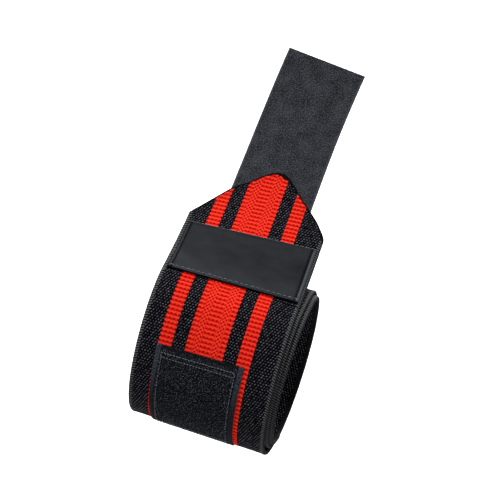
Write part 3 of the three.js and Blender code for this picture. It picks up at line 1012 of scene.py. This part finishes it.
def loop_stitch_pieces(thread):
    """The loop patch's stitches: two rows at each end and one down each side."""
    start = -LOOP_START - LOOP_LENGTH
    end = start + LOOP_LENGTH
    left = LOOP_OFFSET - LOOP_WIDTH / 2 + LOOP_SIDE_INSET
    right = LOOP_OFFSET + LOOP_WIDTH / 2 - LOOP_SIDE_INSET
    lines = []
    for k, inset in enumerate(LOOP_ROW_INSETS):
        for name, row in (("upper", end - inset), ("lower", start + inset)):
            columns = sewn(row, np.linspace(left - 1, right + 1, LINE_POINTS))
            line = np.stack([np.full(LINE_POINTS, row), columns], -1)
            lines.append((f"{name}_{k + 1}", line, LOOP_ROW_STITCH))
    for name, column in (("left", left), ("right", right)):
        rows = np.linspace(start + LOOP_HEM, end - LOOP_HEM, LINE_POINTS)
        lines.append((name, np.stack([rows, sewn(rows, column)], -1), LOOP_SIDE_STITCH))
    level = SEAT_GAP + PILE_TOP
    return [
        stitch_row(f"loop_stitches_{name}", line, level, stitch, thread)
        for name, line, stitch in lines
    ]


def loop_pieces(tape, thread, fuzz):
    """The loop patch: its tape, its pile and its stitches."""
    rng = np.random.default_rng(5)
    return [loop_tape_piece(rng, tape), loop_pile_piece(rng, fuzz), *loop_stitch_pieces(thread)]


def tab_tape_piece(start, painted_rim_shade, tape):
    """The hook tab's woven tape, slightly uneven, with thin borders."""
    size = (start, LIFT_LENGTH - start, TAB_WIDTH, TAB_OFFSET)
    along, across, top = profile_grid(*size, TAB_ROWS, TAB_ROWS, TAB_STEP)
    outer = painted_rim_shade + top + swell(along, across, TAB_SWELL) * (top > -0.01)
    inner = np.full_like(outer, painted_rim_shade - TAB_TAPE) - top
    return closed_sheet("hook_tape", along, across, outer, inner, tape)


def tab_hooks_piece(start, painted_rim_shade, hook_thread):
    """Rows of hooks on the tab's back: short stems that bend over, every second one the other way."""
    rng = np.random.default_rng(9)
    reach = TAB_WIDTH / 2 - TAB_SELVEDGE - HOOK_SIDE_INSET
    up = np.arange(start + TAB_HEM, LIFT_LENGTH - TAB_HEM, HOOK_ROW_STEP)
    rows, columns = np.meshgrid(up, np.arange(-reach, reach, HOOK_COLUMN_STEP), indexing="ij")
    base = np.stack([rows.ravel(), columns.ravel() + TAB_OFFSET], -1)
    base += rng.uniform(-HOOK_SCATTER, HOOK_SCATTER, base.shape)
    way = np.where(np.arange(len(base)) % 2, 1.0, -1.0)[:, None]
    t = np.linspace(0, 1, THREAD_POINTS)
    bend = np.clip((t - HOOK_STEM) / (1 - HOOK_STEM), 0, 1) * math.pi
    stand = np.minimum(t / HOOK_STEM, 1) * (1 - HOOK_BEND) + HOOK_BEND * np.sin(bend)
    along = base[:, :1] + way * (HOOK_BEND * (1 - np.cos(bend)))[None]
    across = np.broadcast_to(base[:, 1:], along.shape)
    lift = np.broadcast_to(painted_rim_shade - TAB_TAPE - TAB_HOOKS * stand, along.shape)
    paths = np.stack([along, across, lift], -1)
    return threads("tape_hooks", paths, HOOK_RADIUS, FUZZ_SIDES, hook_thread)


def tab_pieces(tape, hook_thread):
    """The hook tab behind the point: its tape and the hooks on its back."""
    start = TONGUE_STRAIGHT + TONGUE_POINT - TAB_OVERLAP
    painted_rim_shade = -EDGE_THICKNESS - SEAT_GAP
    return [tab_tape_piece(start, painted_rim_shade, tape), tab_hooks_piece(start, painted_rim_shade, hook_thread)]


def set_stage():
    """A paper floor that sweeps up into the backdrop, one seamless curved sheet."""
    profile = [(STAGE_FRONT, 0.0), (SWEEP_START, 0.0)]
    for a in np.linspace(SWEEP_FIRST_ANGLE, math.pi / 2, SWEEP_POINTS):
        profile.append((SWEEP_START + SWEEP_RADIUS * math.sin(a), SWEEP_RADIUS - SWEEP_RADIUS * math.cos(a)))
    profile.append((SWEEP_START + SWEEP_RADIUS, WALL_TOP))
    vertices = [(x, y, z - FLOOR_DEPTH) for x in (-STAGE_SIDE, STAGE_SIDE) for y, z in profile]
    count = len(profile)
    faces = [(k, k + count, k + count + 1, k + 1) for k in range(count - 1)]
    mesh = bpy.data.meshes.new("floor_and_backdrop")
    mesh.from_pydata(vertices, [], faces)
    mesh.polygons.foreach_set("use_smooth", [True] * len(mesh.polygons))
    mesh.materials.append(stage_material())
    floor = bpy.data.objects.new("floor_and_backdrop", mesh)
    bpy.context.scene.collection.objects.link(floor)


def set_lights():
    """Dim white surroundings and the lamps: a key from the upper left, a fill, a rear and a backdrop lamp."""
    world = bpy.data.worlds.new("studio")
    world.use_nodes = True
    world.node_tree.nodes["Background"].inputs["Color"].default_value = (1, 1, 1, 1)
    world.node_tree.nodes["Background"].inputs["Strength"].default_value = WORLD_STRENGTH
    bpy.context.scene.world = world
    for name, place, target, size, power in LAMPS:
        light = bpy.data.lights.new(name, "AREA")
        light.shape = "DISK"
        light.size = size
        light.energy = power
        lamp = bpy.data.objects.new(name, light)
        lamp.location = place
        lamp.rotation_euler = (Vector(target) - Vector(place)).to_track_quat("-Z", "Y").to_euler()
        bpy.context.scene.collection.objects.link(lamp)


def set_camera():
    """The photograph's camera: level, turned toward the wrap's hand side and rolled."""
    turn, roll = math.radians(CAMERA_TURN), math.radians(CAMERA_ROLL)
    back = Vector((math.sin(turn), -math.cos(turn), 0))
    side = Vector((math.cos(turn), math.sin(turn), 0))
    rise = Vector((0, 0, 1))
    right = side * math.cos(roll) + rise * math.sin(roll)
    up = rise * math.cos(roll) - side * math.sin(roll)
    camera = bpy.data.objects.new("camera", bpy.data.cameras.new("camera"))
    camera.data.sensor_width = SENSOR_WIDTH
    camera.data.lens = SENSOR_WIDTH * CAMERA_FOCAL_PIXELS / IMAGE_SIZE
    place = back * CAMERA_DISTANCE - right * CAMERA_SIDE - up * CAMERA_RISE - rise * CAMERA_LIFT
    axes = Matrix((right, up, back)).transposed().to_4x4()
    camera.matrix_world = Matrix.Translation(place * METRE) @ axes
    bpy.context.scene.collection.objects.link(camera)
    bpy.context.scene.camera = camera


set_camera()
set_stage()
set_lights()
bpy.context.scene.view_settings.view_transform = "Standard"

band = band_piece(webbing_material())
trim = edge_pieces(overlock_material(), thread_material("black_thread"), seam_material())
label = label_pieces(label_material(), thread_material("pale_thread"))
loop = loop_pieces(loop_material(), thread_material("slate_thread"), thread_material("loop_fuzz"))
tab = tab_pieces(tab_material(), thread_material("hook_thread"))

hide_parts("elastic_band")
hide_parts("label_patch")
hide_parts("loop_patch")
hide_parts("hook_tab")

RELAXED_LENGTH * METRE
